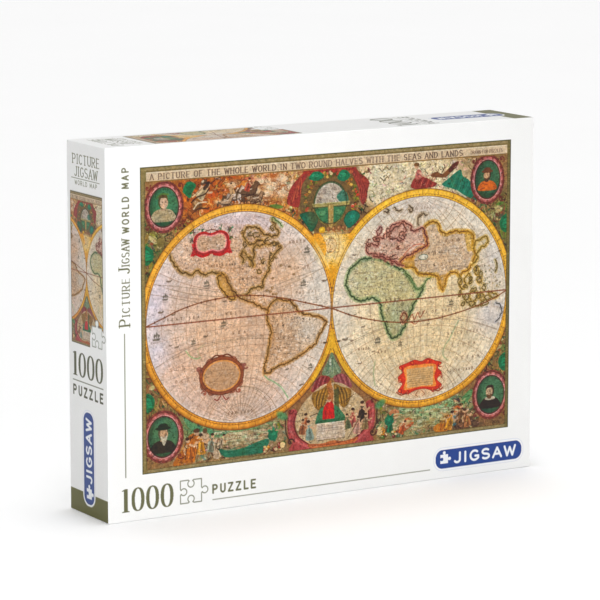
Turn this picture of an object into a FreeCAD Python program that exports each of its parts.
import FreeCAD, Part
import math
import os

# Boxed jigsaw puzzle, standing on its long edge. Millimetres, +Z up. The lid's printed face looks along -Y.
# Origin: middle of the footprint, on the floor.

# Whole box
box_width = 370.0
box_height = 273.0
box_depth = 60.0

# Greyboard and paper
board_t = 1.5
wrap_t = 0.2
edge_r = 0.5
turn_in = 15.0
stay_t = 0.1
stay_w = 22.0

# Lid and tray
lid_rim_short = 1.0
slip = 0.6
tray_rim_gap = 0.6

# Bag of puzzle pieces
film_t = 0.12
bag_side_gap = 7.0
bag_corner_r = 1.0
bag_full_top = 137.0
bag_gather_top = 176.0
bag_seal_h = 12.0
bag_seal_t = 1.2

# Puzzle pieces
columns = 40
rows = 25
pitch_x = 17.25
pitch_y = 20.0
piece_t = 1.9
knob_r = 2.9
knob_rise = 1.8
knob_wander = 1.3

os.makedirs("parts", exist_ok=True)


def save(name, shape):
    shape.exportStep("parts/" + name + ".step")


def block(x0, x1, y0, y1, z0, z1):
    return Part.makeBox(x1 - x0, y1 - y0, z1 - z0, FreeCAD.Vector(x0, y0, z0))


def soft_block(x0, x1, y0, y1, z0, z1, r, open_end):
    """A block whose edges are rounded, except those around the end at open_end along Y."""
    b = block(x0, x1, y0, y1, z0, z1)
    edges = []
    for e in b.Edges:
        box = e.BoundBox
        if abs(box.YMin - open_end) < 1e-6 and abs(box.YMax - open_end) < 1e-6:
            continue
        edges.append(e)
    return b.makeFillet(r, edges)


def half_box(x0, x1, z0, z1, closed_y, open_y):
    """Board, wrap and corner stays of one half of the box. closed_y is the outside of its large panel and open_y its rim."""
    s = 1.0 if open_y > closed_y else -1.0
    w = wrap_t

    def span(a, b):
        return (min(a, b), max(a, b))

    # The board is folded from one sheet: a large panel and four walls.
    ya, yb = span(closed_y + s * w, open_y - s * w)
    board = soft_block(x0 + w, x1 - w, ya, yb, z0 + w, z1 - w, edge_r, open_y - s * w)
    ya, yb = span(closed_y + s * (w + board_t), open_y + s * 5.0)
    t = w + board_t
    board = board.cut(block(x0 + t, x1 - t, ya, yb, z0 + t, z1 - t))

    # Paper stays tape the walls together at the four corners, pressed into the board's surface.
    stays = []
    ya, yb = span(closed_y + s * (w + 3.0), open_y - s * (w + 1.0))
    skin = board.common(block(x0 - 5, x1 + 5, ya, yb, z0 - 5, z1 + 5))
    core = soft_block(x0 + w + stay_t, x1 - w - stay_t, closed_y - s * 5 if s > 0 else open_y - 5,
                      open_y + 5 if s > 0 else closed_y + 5, z0 + w + stay_t, z1 - w - stay_t, edge_r - stay_t, 1e9)
    skin = skin.cut(core)
    for cx, dx in ((x0, 1.0), (x1, -1.0)):
        for cz, dz in ((z0, 1.0), (z1, -1.0)):
            xa, xb = span(cx - dx, cx + dx * (w + stay_w))
            za, zb = span(cz - dz, cz + dz * (w + stay_w))
            stay = skin.common(block(xa, xb, ya, yb, za, zb))
            stays.append(stay.Solids[0] if len(stay.Solids) == 1 else stay)
    for stay in stays:
        board = board.cut(stay)

    # The wrap is one printed sheet glued over the outside and turned in over the rim.
    outer = soft_block(x0, x1, min(closed_y, open_y), max(closed_y, open_y), z0, z1, edge_r + w, open_y)
    ya, yb = span(closed_y + s * w, open_y - s * w)
    filled = soft_block(x0 + w, x1 - w, ya, yb, z0 + w, z1 - w, edge_r, open_y - s * w)
    ya, yb = span(open_y - s * turn_in, open_y + s * 5.0)
    inner = block(x0 + t + w, x1 - t - w, ya, yb, z0 + t + w, z1 - t - w)
    ya, yb = span(open_y - s * turn_in, open_y - s * w)
    core = block(x0 + t, x1 - t, ya, yb, z0 + t, z1 - t)
    wrap = outer.cut(filled)
    wrap = wrap.fuse(core).removeSplitter().cut(inner)
    return board, wrap, stays


# The lid covers the tray almost to its back.
front_y = -box_depth / 2
back_y = box_depth / 2
lid_board, lid_wrap, lid_stays = half_box(-box_width / 2, box_width / 2, 0.0, box_height, front_y, back_y - lid_rim_short)
save("lid_board", lid_board)
save("lid_wrap", lid_wrap)
for n, stay in enumerate(lid_stays):
    save("lid_corner_stay_%d" % (n + 1), stay)

# The tray stands inside the lid with a little slip all round.
inset = board_t + wrap_t + slip
tray_x = box_width / 2 - inset
tray_z0 = inset
tray_z1 = box_height - inset
tray_rim_y = front_y + wrap_t + board_t + tray_rim_gap
tray_board, tray_wrap, tray_stays = half_box(-tray_x, tray_x, tray_z0, tray_z1, back_y, tray_rim_y)
save("tray_board", tray_board)
save("tray_wrap", tray_wrap)
for n, stay in enumerate(tray_stays):
    save("tray_corner_stay_%d" % (n + 1), stay)

# The film bag sits on the tray's lower wall. Its empty top is gathered flat and sealed.
wall = board_t + wrap_t
bag_x = tray_x - wall - bag_side_gap
bag_z = tray_z0 + wall + 0.4
bag_y0 = tray_rim_y + 2.0
bag_y1 = back_y - wall - 1.6
bag_y = (bag_y0 + bag_y1) / 2
bag_d = (bag_y1 - bag_y0) / 2


def ring(hx, hy, z, r, cy):
    """A closed rounded rectangle at height z."""
    r = min(r, hy * 0.98, hx * 0.98)
    c = math.cos(math.pi / 4) * r
    V = FreeCAD.Vector
    x, y = hx - r, hy - r
    e = []

    def arc(px, py, a0, a1, a2):
        pts = [V(px + r * math.cos(a), cy + py + r * math.sin(a), z) for a in (a0, a1, a2)]
        e.append(Part.Arc(*pts).toShape())

    def line(ax, ay, bx, by):
        e.append(Part.makeLine(V(ax, cy + ay, z), V(bx, cy + by, z)))

    q = math.pi / 4
    line(-x, -hy, x, -hy)
    arc(x, -y, -2 * q, -q, 0)
    line(hx, -y, hx, y)
    arc(x, y, 0, q, 2 * q)
    line(x, hy, -x, hy)
    arc(-x, y, 2 * q, 3 * q, 4 * q)
    line(-hx, y, -hx, -y)
    arc(-x, -y, 4 * q, 5 * q, 6 * q)
    return Part.Wire(e)


def pouch(grow):
    """The bag's outside, or its inside with grow below zero."""
    hx, hy = bag_x + grow, bag_d + grow
    flat = bag_seal_t / 2 + grow
    body = Part.makeLoft([ring(hx, hy, bag_z - grow, bag_corner_r + grow, bag_y), ring(hx, hy, bag_full_top, bag_corner_r + grow, bag_y)], True, True)
    neck = Part.makeLoft([ring(hx, hy, bag_full_top, bag_corner_r + grow, bag_y), ring(hx, flat, bag_gather_top + grow, flat * 0.9, bag_y)], True, True)
    return body.fuse(neck)


bag = pouch(0.0).cut(pouch(-film_t))
seal = Part.Face(ring(bag_x, bag_seal_t / 2, bag_gather_top, bag_seal_t / 2 * 0.9, bag_y)).extrude(FreeCAD.Vector(0, 0, bag_seal_h))
bag = bag.fuse(seal).removeSplitter()
save("piece_bag", bag)


# The puzzle is cut as a grid of interlocking pieces, broken up and loose in the bag.
def noise(a, b, c):
    """A repeatable number from 0 to 1."""
    n = (a * 73856093) ^ (b * 19349663) ^ (c * 83492791)
    n = (n ^ (n >> 13)) * 1274126177 & 0xFFFFFFFF
    return ((n ^ (n >> 16)) & 0xFFFFFF) / float(0x1000000)


def knob(kind, c, r):
    """The knob between a piece and its right-hand (kind 0) or upper (kind 1) neighbour: which way it points, and its place along the edge."""
    if (kind == 0 and not 0 <= c < columns - 1) or (kind == 1 and not 0 <= r < rows - 1):
        return None
    way = 1 if (c + r + kind + (1 if noise(c, r, 7 + kind) > 0.82 else 0)) % 2 == 0 else -1
    return way, knob_wander * (2 * noise(c, r, 3 + kind) - 1)


def piece(c, r):
    """One puzzle piece, lying flat about its own middle."""
    hx, hy, hz = pitch_x / 2, pitch_y / 2, piece_t / 2
    half = math.sqrt(knob_r ** 2 - knob_rise ** 2)
    edges = []

    def V(p):
        return FreeCAD.Vector(p[0], p[1], -hz)

    for a, b, n, k, out in (
        ((-hx, -hy), (hx, -hy), (0, -1), knob(1, c, r - 1), -1),
        ((hx, -hy), (hx, hy), (1, 0), knob(0, c, r), 1),
        ((hx, hy), (-hx, hy), (0, 1), knob(1, c, r), 1),
        ((-hx, hy), (-hx, -hy), (-1, 0), knob(0, c - 1, r), -1),
    ):
        if k is None:
            edges.append(Part.makeLine(V(a), V(b)))
            continue
        s, off = k[0] * out, k[1]
        length = math.hypot(b[0] - a[0], b[1] - a[1])
        t = ((b[0] - a[0]) / length, (b[1] - a[1]) / length)
        mid = ((a[0] + b[0]) / 2 + off * abs(t[0]), (a[1] + b[1]) / 2 + off * abs(t[1]))
        p = (mid[0] - t[0] * half, mid[1] - t[1] * half)
        q = (mid[0] + t[0] * half, mid[1] + t[1] * half)
        top = (mid[0] + n[0] * s * (knob_rise + knob_r), mid[1] + n[1] * s * (knob_rise + knob_r))
        edges.append(Part.makeLine(V(a), V(p)))
        edges.append(Part.Arc(V(p), V(top), V(q)).toShape())
        edges.append(Part.makeLine(V(q), V(b)))
    return Part.Face(Part.Wire(edges)).extrude(FreeCAD.Vector(0, 0, piece_t))


# Where each piece lies in the bag: x, y, z in hundredths of a millimetre, then its turn as a quaternion x, y, z, w in ten-thousandths. One row of the puzzle to a list, left to right.
lying = [
    [
        (5884, -1629, 11052, 415, -201, 7059, 7068), (11891, 1251, 1267, 60, -529, -7341, 6770), (13848, -1209, 2789, -8225, 5631, 132, 791), (7614, -1018, 3175, -1573, 517, -9156, 3664),
        (7278, 1173, 10787, 7523, 6363, -1556, 700), (-6986, -1286, 6042, 1456, -531, -8184, 5534), (-13646, 1387, 6152, -4867, 8343, -2242, 1296), (15990, -1424, 3598, -7449, -6177, 2370, 860),
        (12172, -968, 680, -7907, 6122, 0, 2), (6665, 666, 9686, -1705, 9843, -369, 275), (-10693, 1728, 3528, -623, 530, 7044, 7051), (16064, -1457, 10402, -5269, -7946, -2453, 1755),
        (11515, -2400, 8279, 1006, -6999, 6999, 1006), (181, 1226, 1733, 9774, 437, 1521, 1398), (-1250, -1393, 8464, 255, 532, 6876, 7236), (16122, -1287, 10227, 535, 2968, -9317, 2026),
        (-12449, 1541, 8695, -413, 1682, 130, 9848), (12087, 1271, 9930, 6907, 7002, -1516, 989), (5395, -1037, 8434, 5869, 8086, 306, 285), (-6743, -1500, 6591, -7474, -6583, -874, 188),
        (-13004, -1305, 9591, 1008, -499, -8272, 5505), (-16231, -935, 9889, -7429, -6538, -1376, 414), (197, 1026, 7734, 9431, -3178, -596, 773), (-5939, 2501, 1444, 5003, 4999, -4998, 5000),
        (-11969, 2500, 1592, -26, 7071, 7071, 26), (16007, -1053, 6095, -9883, 1392, -25, 625), (7021, -938, 2875, -2787, -9458, 580, 1563), (6093, -730, 2608, 7406, 6713, -254, 159),
        (-11235, -1268, 6532, -1555, 9511, -419, 2636), (-5062, 1334, 5850, -7640, 6296, -1291, 574), (15981, -1312, 9858, -6226, 7269, 2473, 1508), (15971, -1468, 4165, -7277, -6379, 2347, 920),
        (-12592, 1185, 8087, 5658, -8162, -105, 1165), (8113, 1600, 5737, -1306, 467, 62, 9903), (-10070, 186, 8728, 82, -1537, -6256, 7648), (11932, -2160, 8547, -6878, 1644, 1647, 6876),
        (-10018, 2260, 11901, 5840, 3988, -3988, 5839), (16324, 1131, 6494, 471, 570, -674, 9950), (16193, 1281, 5558, -6447, -7609, -28, 732), (16131, 403, 8575, -6629, 7280, 1748, 45),
    ],
    [
        (10341, -1178, 2769, -810, 81, -9557, 2830), (12918, -1212, 6897, -1056, 549, 7784, 6164), (14949, 462, 10697, -6496, -7255, -2267, 170), (-6372, -1032, 9452, -9867, -2, 3, 1624),
        (16458, -1016, 926, 42, -9957, -720, 585), (4178, -884, 7615, 8674, 4959, 387, 135), (-12497, -1529, 1154, -7437, 6683, 53, 125), (3725, 2500, 7751, 4718, -5267, 5268, 4718),
        (-5986, 1727, 8934, -925, -179, 7012, 7067), (-4239, -997, 4479, 5932, -7973, -931, 615), (-16450, 1590, 3387, -23, 9958, 260, 876), (-11760, -1026, 3813, 1100, 980, -568, 9875),
        (9963, 1513, 1559, 254, 132, 6156, 7876), (-6681, -969, 10670, -73, 106, 8012, 5982), (11153, 1564, 4436, -1211, 304, 9920, 159), (-9962, 1262, 6211, 7270, -6829, 692, 189),
        (4012, 1287, 1398, -306, -877, -4360, 8951), (7624, -923, 2917, 782, 1467, 5202, 8377), (7889, -1168, 4841, -790, -1149, -2194, 9656), (10514, -1250, 4869, 8100, 5669, -1497, 70),
        (701, -270, 10871, 372, -554, 2526, 9653), (3726, -1229, 9210, -4815, 8674, -626, 1088), (-11481, -1090, 6104, -2621, -502, 9474, 1769), (-3542, -1252, 2437, -814, -666, -9911, 821),
        (9250, -646, 10951, 1630, 1234, -9575, 2035), (8730, 1249, 7331, -422, -315, -6974, 7147), (4092, 1273, 5560, -520, 132, -7064, 7058), (-16076, 800, 5464, -9673, -2519, -232, 179),
        (14572, -1508, 8845, -7026, -6053, -795, 3657), (5170, 936, 4622, 8243, 5195, -286, 2231), (43, 909, 9224, 241, 9868, -1422, 739), (13540, 82, 9807, -877, 17, -1087, 9902),
        (-2548, 951, 2227, -267, 2083, -1637, 9639), (-2578, 1710, 10810, -4960, -679, 2508, 8285), (10948, 857, 10995, 5871, -7754, 1973, 1226), (-11055, -927, 9552, -652, -913, 6738, 7303),
        (-12109, -1166, 9552, -997, -519, 9324, 3434), (-16320, -926, 9627, -6932, 7063, 339, 1397), (-15863, 1637, 1222, 7381, 6628, -704, 1042), (14437, 1395, 7488, -709, -1680, 735, 9805),
    ],
    [
        (1982, 1339, 10298, 8719, 4696, -365, 1339), (12403, -998, 5313, 9203, 3721, 25, 1204), (1677, 823, 8001, -3156, -9380, 1372, 403), (14232, -1182, 1128, 838, -451, 9024, 4203),
        (-13439, -1244, 6487, -8594, 3261, 3849, 833), (10139, 1510, 10264, 7001, -6905, 943, 1554), (-806, 2500, 8425, -7064, -316, -317, 7064), (-3617, -2400, 11164, -6454, 2888, 2888, 6454),
        (16017, 1352, 5102, 5108, -8566, -695, 218), (11623, -1180, 10279, 1435, 2240, 8702, 4148), (-12781, -1271, 1398, -8501, -5264, -94, 84), (3370, 1298, 2095, -804, -1950, 443, 9765),
        (-1576, 114, 11392, -1875, -2328, -6698, 6798), (-13265, 633, 4446, 1445, 320, 8873, 4369), (11948, -260, 8696, 1502, -375, -8469, 5087), (-10002, -1239, 2082, 1725, 1667, -3484, 9061),
        (16333, 1372, 11137, -3600, -567, -9187, 1523), (15969, -1628, 3922, 1123, 2257, 6981, 6701), (-10961, -1182, 5578, 2655, 9265, 756, 2558), (-10824, -1635, 5380, -1863, -1905, 6821, 6810),
        (-3246, 1292, 3055, -9677, -2490, 19, 389), (-6060, 921, 6175, 127, 9932, -262, 1129), (-5600, 1307, 9780, 8836, 4650, -386, 381), (11438, -871, 9996, 391, 2632, 6236, 7351),
        (2959, 1570, 4763, 9927, -45, -1001, 675), (9870, 1291, 4502, -724, -458, 5388, 8380), (-9858, 1593, 9535, 109, 9890, -991, 1088), (8466, -1022, 4426, 936, -1025, -9903, 65),
        (-8605, -1211, 1663, 953, 259, -8642, 4934), (-362, -1105, 3306, -1726, -9802, -965, 63), (415, 1687, 10611, -4723, -1660, 798, 8620), (-12233, 1728, 9453, -1383, 103, -6940, 7065),
        (-11802, 584, 930, 4764, 8792, 10, 107), (10955, 1304, 3319, -2445, -9555, -431, 1592), (10332, -993, 1391, 827, 807, 6962, 7085), (-10402, -1205, 7314, -2272, -1196, 8601, 4409),
        (13184, 1590, 5639, 37, 9958, -793, 467), (-1317, 1204, 5358, -362, 63, 9762, 2135), (-7878, 1266, 8395, -3193, -9398, 640, 1032), (8090, 1610, 10776, 6355, 7529, -1653, 430),
    ],
    [
        (-6992, -924, 10430, -111, 64, 4688, 8832), (14055, -1496, 3873, -870, -1163, -9893, 99), (-11468, 2261, 6889, -6618, 2487, 2492, 6619), (419, -1151, 2718, -1235, -266, 7047, 6981),
        (8957, -1094, 2157, -502, 356, -1853, 9808), (-9482, -1226, 5343, -8735, -4620, -1230, 922), (-8441, -127, 7392, -5919, 7892, 1599, 347), (-6304, 1029, 1030, -9515, -2780, -387, 1260),
        (-10260, -1230, 4708, -8844, 4380, 335, 1576), (-2466, -18, 8842, -3430, 9378, -364, 406), (9886, -565, 9557, 4218, -8635, -1634, 2230), (11176, -1458, 2903, -1010, -188, -9945, 215),
        (921, -46, 8060, 7065, 6957, -1289, 143), (477, -21, 7034, 9964, -789, -157, 248), (-3368, -1472, 9433, 1674, 2293, -6869, 6690), (10893, 1452, 2714, 232, -110, 9956, 899),
        (13414, -1132, 2289, -9193, 3852, -22, 810), (-11367, -1174, 10951, 986, -536, -8067, 5802), (-491, 1499, 9474, 7053, 6905, -501, 1522), (-9684, 1282, 8886, 8998, -4106, 1398, 466),
        (-1837, -1001, 2596, -470, 971, 9712, 2125), (5338, -1286, 8667, -156, -394, 5378, 8420), (-5759, 1497, 680, 7069, -7073, 3, 1), (14034, 1033, 7900, 995, -1527, -7708, 6105),
        (5881, 1643, 7813, 428, -908, -6735, 7323), (4159, 1908, 10807, -1188, -4049, -6971, 5797), (-1906, -1166, 7798, 506, 241, 9804, 1887), (3751, 1354, 2519, 1825, 9600, -355, 2094),
        (-16038, 1439, 2199, 9626, -1519, 41, 2242), (-9566, -947, 10136, 1120, -37, -9812, 1569), (13815, -1155, 2552, -2993, 9508, 593, 542), (-15854, 1479, 1015, 6604, 7403, -817, 955),
        (-2963, 1340, 5945, -414, -1737, -9527, 2458), (-514, -1191, 3529, 813, 520, -6264, 7735), (-2924, -1431, 3434, -7728, -6272, -686, 687), (1658, 1042, 1209, -956, 292, 7554, 6476),
        (-16301, 450, 3113, 338, -866, -872, 9918), (-12416, 1468, 10041, 875, -9865, 817, 1114), (-15174, -1178, 1148, 15, 11, 4050, 9143), (-11672, 1171, 2710, 1077, 120, 6510, 7513),
    ],
    [
        (-1640, -1225, 1122, -838, 50, -5554, 8273), (-3398, 2500, 10968, -3214, -6298, -6298, 3214), (-3390, 1276, 9138, -915, 178, 9056, 4137), (-12740, 886, 6480, 884, -3464, -6493, 6712),
        (339, -1488, 5554, 448, -504, 29, 9977), (11782, -1631, 4010, 566, 877, 7048, 7016), (-7592, -1251, 2347, 8484, -5214, -763, 499), (-1371, 1265, 5075, 100, -342, -2780, 9599),
        (743, 1582, 6376, 9971, 70, -583, 475), (-11773, -1323, 3244, -8136, 5623, 1413, 433), (12437, 1255, 2550, 2352, -1576, -6475, 7075), (-10632, 1307, 4368, -314, 1018, -2292, 9675),
        (-1006, 1075, 3336, -7348, 6744, -702, 143), (-16006, 1376, 8764, 5336, 8433, -314, 562), (-16016, -685, 4415, 796, 819, -8635, 4913), (-269, -1049, 4956, 777, -9933, -830, 214),
        (-5222, -1153, 1158, -766, 648, -7525, 6509), (9239, 1728, 6067, 7058, 7064, -431, 319), (3222, -1532, 1398, -7, -4, -6686, 7436), (5231, 1269, 8792, -491, 94, -3889, 9199),
        (-757, 1163, 8520, -1413, -323, -5272, 8373), (-6974, -231, 10172, 2839, 9588, -124, 32), (-6385, 656, 6609, -1154, -37, 9563, 2685), (11594, 2500, 10047, 4764, 5225, -5225, 4764),
        (16386, -893, 4112, 1019, 2305, 6685, 6997), (16194, -882, 2595, -2576, -8968, 3214, 1616), (13346, -953, 1540, -765, 9956, -393, 378), (-5692, -707, 9055, 1548, 496, -2973, 9408),
        (8140, -1190, 1393, -16, -23, -6449, 7642), (6644, 2500, 11521, 1817, -6834, 6834, 1817), (-15929, -1226, 11230, 198, -2325, 2127, 9488), (9681, -23, 9461, -1374, 2399, -6179, 7361),
        (13792, -1129, 8526, 3657, -805, 6069, 7010), (10636, 1112, 2233, 576, -9979, -140, 255), (14668, 800, 10476, -9432, 2422, -894, 2093), (5290, -1039, 10220, 9860, 573, 1554, 169),
        (-7151, -1301, 941, -9891, -980, -177, 1082), (-96, 1032, 2122, -1341, -522, 6137, 7763), (5377, -1279, 4868, -420, 1928, 783, 9772), (11000, -1351, 3424, -5782, -8094, 761, 697),
    ],
    [
        (-11420, 657, 10849, 9523, 1360, 219, 2721), (15906, 630, 8948, -9040, -3903, 528, 1665), (8062, -1247, 6816, -9929, -352, 453, 1046), (-3903, -1169, 9963, -8073, 5175, 1853, 2150),
        (5890, -1210, 6866, 117, -1291, 9659, 2241), (15025, -1152, 7431, -1024, -1645, 7441, 6394), (6895, 441, 5670, 3750, 9165, -1390, 75), (-8288, -2160, 9685, -7044, 625, 622, 7043),
        (-5699, 1278, 8784, -2117, 9728, -686, 648), (-1715, 1601, 6761, -1341, -258, -35, 9906), (-8764, 253, 680, -1, -2, 9358, 3524), (-7585, 1589, 6103, 2900, -457, 9558, 139),
        (1192, 1380, 3645, 1506, 9814, -427, 1110), (10494, -928, 9707, 2756, -208, 9560, 981), (-4658, -1349, 11024, -7518, -5749, -987, 3074), (14002, -908, 8283, -2670, -8880, -2638, 2657),
        (-14400, 1199, 4317, 707, 1269, 2461, 9583), (4564, -1434, 9179, 1253, -64, -9914, 358), (-1062, -1264, 10934, 1622, 1106, -7681, 6095), (12920, -836, 7061, 7281, -6750, 1095, 465),
        (12378, 1178, 3777, 1178, 9926, -64, 292), (-16320, -362, 3979, -7002, 7048, 569, 985), (-15581, -1292, 6354, -5437, -8091, -1429, 1714), (-6886, -1280, 7778, 550, 2298, -1646, 9576),
        (1784, -1628, 6933, -6670, 6377, -2349, 3055), (-7071, -1018, 3209, -234, 2035, -8910, 4052), (16518, -986, 4924, -216, -9652, 846, 2464), (8741, -332, 3840, 9878, 762, 842, 1066),
        (-4610, -338, 1277, -9631, -2488, 998, 224), (16063, 1385, 6306, -457, 577, -9877, 1380), (5417, -1482, 1635, -4, -40, -10000, 67), (7269, -1180, 7170, -84, 1200, -9171, 3801),
        (11812, -1168, 4293, -2280, -9635, 1189, 747), (9396, 97, 9367, 7209, -6355, -2366, 1431), (-4600, -1619, 6128, -7091, 6975, 501, 907), (-9595, -1016, 11473, -9948, 944, -123, 354),
        (8071, -869, 4567, 1666, 9762, -845, 1100), (-12870, 194, 3271, 4786, 8735, 454, 767), (10204, 1728, 3362, 6894, -7056, -1575, 457), (-15811, 2500, 9814, -5953, 3816, 3816, 5953),
    ],
    [
        (-6905, 904, 4468, 1644, 2281, 3372, 8985), (-12945, 1262, 1379, -6400, 7680, -224, 107), (-1959, -1144, 6451, -6329, 7737, 143, 246), (3846, -1349, 6988, 5675, 8077, 1360, 841),
        (6079, 1284, 9014, 9607, -2709, -563, 239), (-13106, -1633, 1625, -7070, -7071, -109, 59), (16039, 1513, 4010, -299, -9796, -378, 1953), (-13824, -833, 11857, 7316, -6684, -782, 1092),
        (2196, 348, 9465, -193, 435, -9867, 1553), (5541, 1116, 2026, 9993, 196, -84, 312), (10408, 1274, 1769, -51, 287, -5787, 8151), (-15968, -651, 7279, -840, 120, -4839, 8710),
        (-14324, -1184, 10516, -5076, -560, 7936, 3308), (16115, -1487, 2387, -5907, -7432, 2734, 1552), (4304, 1254, 3479, 7080, -6773, -928, 1769), (6410, 1734, 9208, -483, 375, -7054, 7061),
        (203, -2160, 6960, 3177, 6318, -6316, 3177), (-5059, 1354, 4595, -4999, -8213, -210, 2742), (6492, -2400, 3829, 7051, 584, -583, 7042), (7809, -1329, 1630, -26, -24, -7574, 6530),
        (11734, 122, 11133, -2321, -55, 659, 9704), (7145, 1284, 8578, -923, -24, 9695, 2271), (-5227, 807, 7319, 118, 314, 5900, 8067), (-7533, 1214, 8904, 2175, -9347, -116, 2810),
        (9063, 773, 9364, -251, 2754, -2557, 9264), (-1643, 1567, 1088, 702, -107, -9974, 142), (-11536, 2262, 1818, -3894, 5908, 5906, 3878), (815, 1007, 1745, -4714, 8573, -1934, 737),
        (-2389, 1320, 6469, 2961, -9383, 1712, 506), (3509, -1621, 1637, -10, 10, 7119, 7023), (-6084, 559, 1817, -739, 536, -7965, 5977), (9307, 492, 5264, 7580, -6418, 702, 926),
        (10374, -1220, 6738, 4787, 8598, -303, 1750), (-2238, -1629, 4869, -7033, -7048, -732, 571), (7856, 1336, 2174, -1055, 606, -8395, 5296), (-14376, 1238, 10086, 1207, 2853, 7131, 6289),
        (-16079, -2400, 9427, -6933, -1391, -1391, 6933), (12499, 1728, 5057, -138, -907, -7070, 7013), (5697, 1356, 8039, 894, -456, -9812, 1651), (10522, -1632, 6621, -6848, 7068, -1762, 215),
    ],
    [
        (-14372, -949, 3576, -8902, -4353, -1322, 228), (-12898, -1002, 7445, 5619, 191, 3528, 7480), (-43, -1629, 4434, -7032, -7047, -748, 584), (3059, -1488, 6982, 612, -1476, 85, 9871),
        (-10197, 1654, 10891, 7619, -5616, 1623, 2789), (-13352, 446, 3428, 231, -874, -2211, 9711), (1810, 1277, 8787, 6580, -7426, 653, 1062), (15754, -1168, 6316, 622, 83, -3099, 9487),
        (-5494, 671, 8609, -539, -933, -1627, 9808), (8237, -893, 680, 5278, 8494, 2, 1), (-13730, 923, 4356, 599, 1350, 1738, 9736), (-6425, -1471, 4167, 112, 9870, 1482, 612),
        (-14085, 1015, 2812, 63, -889, -407, 9952), (-3888, 1286, 1342, 7718, -6235, -60, 1246), (2479, 1588, 3392, 9930, -61, 1014, 602), (-13582, 1321, 10604, -906, 911, 7812, 6109),
        (-15841, -1631, 4949, 978, 572, -7003, 7048), (-12956, -1415, 10770, 480, 9827, -4, 1788), (3862, 852, 5073, 9053, 4152, -732, 516), (-11714, -1242, 4002, 1841, -9718, -1306, 683),
        (10734, 1408, 8527, -8035, 5456, -2126, 1076), (12875, -1301, 10593, -1944, -1505, -8419, 4804), (10216, -1426, 2554, 534, 619, 7806, 6196), (-3548, -1196, 9342, -9519, 1152, 736, 2743),
        (878, -346, 860, 58, -672, 7598, 6466), (11369, -1207, 3587, -766, 704, -5765, 8105), (-721, 1070, 4152, -432, 114, 9773, 2070), (4488, -1242, 4701, 8160, -5435, -1250, 1522),
        (65, -2400, 6893, -3575, 6101, 6101, 3575), (-5026, 2261, 3211, -5884, 3920, 3922, 5884), (11500, 2078, 11012, -4730, 5872, 4175, 5072), (-10631, -992, 10631, -1092, -253, 9886, 1008),
        (-376, 1562, 3894, -333, -400, 149, 9985), (13762, -1183, 4860, -2702, -9515, 1278, 725), (-1823, -1176, 3749, 878, -396, 3086, 9463), (14204, 320, 4944, -548, 1361, 3847, 9113),
        (2078, -1628, 6886, 3056, -2346, -6376, 6670), (11967, 1392, 6774, -1318, 9867, -823, 469), (4722, 1267, 9865, -3234, 9235, -1377, 1538), (-5651, -2182, 9423, 5356, 4878, -4231, 5442),
    ],
    [
        (-8289, -1342, 1446, 6996, 7077, 990, 4), (-4147, -911, 4713, -1863, -9761, -161, 1104), (-9217, 440, 11883, 7501, -6557, -304, 804), (1980, -563, 5103, 841, -345, -5233, 8473),
        (-2720, 1393, 7623, 5457, 8330, -304, 859), (6352, -780, 3861, 224, 1283, -272, 9911), (-3027, 1385, 8084, -1376, 9860, -822, 452), (-1382, -984, 1549, 9805, 1778, -603, 584),
        (-6095, -1488, 6906, 535, 717, -9960, 34), (-6267, -1635, 1860, -664, 627, -7040, 7043), (14219, 1359, 3965, -1706, -9652, -98, 1982), (-11757, 1728, 3774, -555, 552, 7049, 7050),
        (-3740, -1249, 1978, -152, 1038, 5776, 8095), (1340, -1178, 2661, -4072, 8970, -1265, 1166), (3729, 1257, 10433, -2779, 1898, 9288, 1548), (15961, 1374, 2576, -870, 1076, -8278, 5436),
        (-1396, -681, 10345, -8538, 4822, 414, 1919), (265, 822, 2779, 937, -766, -9788, 1650), (-236, 1483, 8629, 6999, 6994, -1307, 629), (1248, 365, 1816, -2026, 410, 8542, 4772),
        (6420, -1391, 10816, -9971, 610, 177, 425), (-1477, -880, 1302, 9934, -771, -447, 716), (2498, 1098, 2787, 9554, -2242, 1659, 969), (7854, -1141, 6272, 3500, -9338, -712, 225),
        (14023, -1137, 8746, 3685, -666, 5800, 7234), (-10112, 1288, 2424, -485, -940, 7980, 5933), (14022, -1092, 4032, 6468, -7488, 324, 1413), (-1338, -1188, 680, 0, 0, -2068, 9784),
        (-2272, 1256, 3711, 6943, 7173, 440, 384), (-296, -1500, 8931, 7524, 6575, -355, 174), (15539, 1367, 7637, -8313, 5250, -1775, 429), (6812, 1584, 7364, 9901, 77, -1359, 350),
        (-119, 987, 2378, -1409, 21, 8597, 4910), (14136, -954, 5841, -1644, 1533, -7272, 6485), (-774, -480, 6748, 48, 142, -9706, 2401), (15753, 1148, 1204, -8180, 5335, 2135, 247),
        (-8964, -1175, 6889, -9730, -1620, 432, 1584), (-12865, 852, 4593, 1437, 350, 8788, 4537), (4728, 1334, 3817, -1904, -590, -9797, 204), (15303, -1198, 7276, -595, -1848, 5658, 8013),
    ],
    [
        (-4104, -972, 8514, -916, 967, 7386, 6609), (-12712, 408, 2204, 9965, -753, -366, 23), (5648, -942, 6680, -9388, -3191, -583, 1158), (-15997, -1279, 4774, 359, -1078, 8346, 5390),
        (10574, 1381, 2003, 530, -9982, -139, 252), (8979, -1271, 3240, -648, 79, -8463, 5287), (186, -1259, 9366, -902, -1882, -9435, 2573), (-16073, 1450, 6519, 1477, -1299, 8128, 5483),
        (3425, -1073, 2758, -1031, -1793, 1531, 9663), (-11665, 1589, 5094, -99, -9872, -674, 1440), (4398, 1124, 8368, 8790, -4742, -35, 496), (7192, 1267, 1425, -3153, -9465, 690, 67),
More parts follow.
